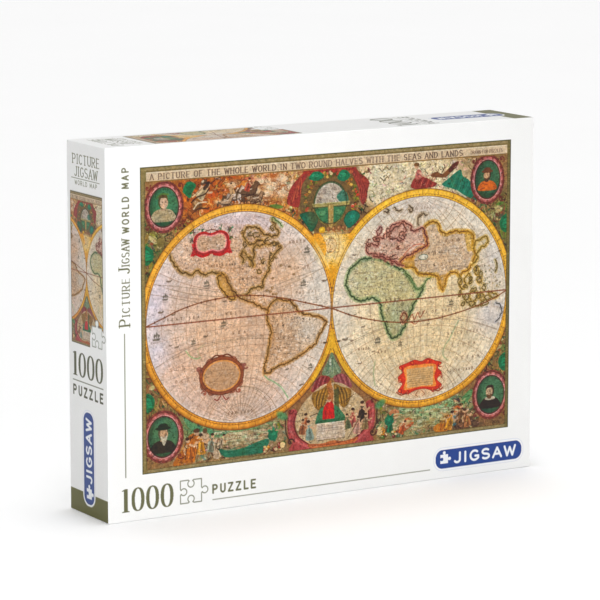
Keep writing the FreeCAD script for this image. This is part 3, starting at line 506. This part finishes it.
        (-10420, -1131, 1271, 339, 546, 6056, 7931), (3563, 1087, 7973, 9924, -150, -225, 1200), (-6167, -800, 9277, 1322, 945, -5714, 8044), (-12582, 1735, 11956, 620, 621, 7044, 7044),
        (4301, -1278, 3521, -988, 503, 8169, 5661), (-16072, 137, 5912, -109, -271, 9709, 2379), (-4276, -1122, 6523, 592, -129, -2753, 9594), (-1324, 1562, 10510, 56, -5006, -7908, 3521),
        (16203, 1011, 1572, 6415, -7540, -1136, 842), (13130, 1613, 4179, 1602, 1171, 6440, 7389), (7831, 1317, 1931, 6152, -7790, -714, 975), (9104, -1287, 8176, 7988, 5746, 467, 1718),
    ],
    [
        (2189, 2500, 1585, 7071, 0, 0, 7071), (-5188, 2501, 3405, -7068, -216, -209, 7068), (-3070, 1280, 7845, -851, -333, 2740, 9574), (-3610, -1473, 11244, -357, -9197, -3815, 860),
        (428, -428, 7295, 114, 270, 9691, 2450), (-6984, -1242, 2478, -476, 777, -4964, 8633), (2638, 1335, 3020, 9758, 1050, 1243, 1461), (-7567, 1411, 7974, -9871, -1201, 1031, 220),
        (8404, -1256, 1154, 5120, 8590, -18, 21), (-4115, -2400, 3856, -134, 7069, 7071, 132), (-1776, 2500, 2087, -4580, -5388, -5388, 4579), (-14447, -546, 8492, 8845, 4638, -224, 456),
        (-11705, -1139, 3526, 1286, -724, 9160, 3731), (2467, 794, 7486, 6482, -7604, 410, 89), (-3581, 1608, 840, -6817, -7296, 457, 303), (-12710, -2400, 7259, -6944, 1338, 1339, 6942),
        (-7405, 1677, 2588, -581, -551, -7226, 6866), (5849, -1148, 8229, 6942, 7186, 343, 240), (12657, 232, 1642, 9914, -1199, 443, 298), (1675, 2500, 7648, 4718, -5267, 5268, 4717),
        (-6704, 1302, 4794, -2640, -9202, -279, 2878), (-11550, -1219, 8165, 1336, 2772, 5939, 7434), (-5040, -237, 3563, 1120, 465, 9814, 1489), (-13178, 958, 1136, -238, -82, 7215, 6919),
        (15843, 1726, 4916, 717, 56, 7025, 7081), (1102, -1403, 8037, -1087, 885, -457, 9891), (-3216, 1702, 10841, 1464, -4788, -8580, 1150), (16146, 1291, 3016, 6086, -7814, -1140, 777),
        (6468, 1307, 4967, 8965, -4192, 206, 1421), (15760, -1133, 9424, 663, 2821, -8845, 3657), (-530, 1274, 5799, 387, 915, 9714, 2157), (2858, 868, 7015, -365, 207, 8443, 5343),
        (668, -1163, 4052, 284, 910, -9787, 1817), (-427, 1232, 9311, -847, 1363, 9822, 979), (-15842, 1729, 5158, 7058, -7069, 438, 183), (-9227, 1369, 913, 9871, -1599, 26, 25),
        (-16061, 1232, 5725, -2680, 9630, 177, 234), (-9404, 1081, 6035, -126, -710, -7465, 6615), (-15285, 829, 7250, 507, 683, 9963, 112), (9430, -2160, 11073, 3618, 6076, -6076, 3617),
    ],
    [
        (5562, 1425, 2484, 1081, -9936, 294, 132), (-13325, -683, 5174, -9599, 2458, 616, 1196), (14390, -1046, 4946, -1464, -90, -7432, 6528), (11840, -486, 8894, 932, -1235, -3392, 9279),
        (-953, 1265, 3087, 6984, 7120, 163, 704), (13594, 1080, 7991, -1791, 322, 9730, 1422), (13339, 1402, 8315, 608, -999, -5460, 8296), (6689, -1630, 2410, 7066, 7069, -268, 151),
        (-14776, 1496, 4199, 1150, 877, 6069, 7815), (16353, -1150, 6917, -877, -1730, 6856, 7017), (-12242, 940, 8290, 555, 1030, 8413, 5277), (-15984, 1646, 1830, -2218, 324, 74, 9745),
        (4360, -913, 6403, 7862, -6060, -922, 777), (-1636, -1200, 8252, 5639, -8240, -190, 529), (-157, 1102, 6026, -949, 291, -3201, 9422), (15683, 2500, 8783, 6964, -1229, 1228, 6964),
        (4232, 639, 5316, 9958, 181, -464, 766), (-784, 1729, 3562, 7069, 7037, 190, 687), (-6526, -1376, 8127, -855, -9679, -736, 2244), (-10520, 1728, 5319, -7052, 7056, 512, 455),
        (5813, -529, 914, -5599, -8285, 17, 10), (8236, -1635, 1870, -29, 41, 7071, 7071), (7515, 512, 4573, -1562, 2078, 9656, 90), (-5414, 1452, 10967, 234, 577, 9944, 859),
        (13738, 1124, 4486, 1348, -405, 9880, 639), (10472, 1498, 8114, -152, -2378, -617, 9692), (10006, -1070, 7362, -5289, 8299, -1684, 564), (6470, -690, 4083, 1296, -9830, -422, 1232),
        (-13605, -1696, 12194, -5641, -6717, -2751, 3936), (7765, -262, 8934, 335, -250, -2830, 9582), (2878, -1174, 6058, 2841, -9558, -603, 455), (-10480, -1267, 910, 86, 126, -5236, 8518),
        (9930, -1465, 2332, -92, -9966, 304, 766), (4618, -1378, 10878, -9962, 700, 304, 415), (-8348, -1203, 7296, 1239, -1070, 8967, 4112), (345, -912, 7561, -41, 292, 7071, 7064),
        (12684, 2260, 10047, 6393, 3024, -3023, 6391), (2862, -910, 4742, -375, 198, -9842, 1717), (6656, 1279, 3370, -869, 9940, -478, 454), (-1471, 1828, 10464, 6212, 6029, -1671, 4719),
    ],
]

for r in range(rows):
    group = []
    for c in range(columns):
        x, y, z, qx, qy, qz, qw = lying[r][c]
        solid = piece(c, r)
        solid.Placement = FreeCAD.Placement(FreeCAD.Vector(x / 100.0, y / 100.0, z / 100.0), FreeCAD.Rotation(qx / 1e4, qy / 1e4, qz / 1e4, qw / 1e4))
        group.append(solid)
    save("pieces_row_%02d" % (r + 1), Part.makeCompound(group))
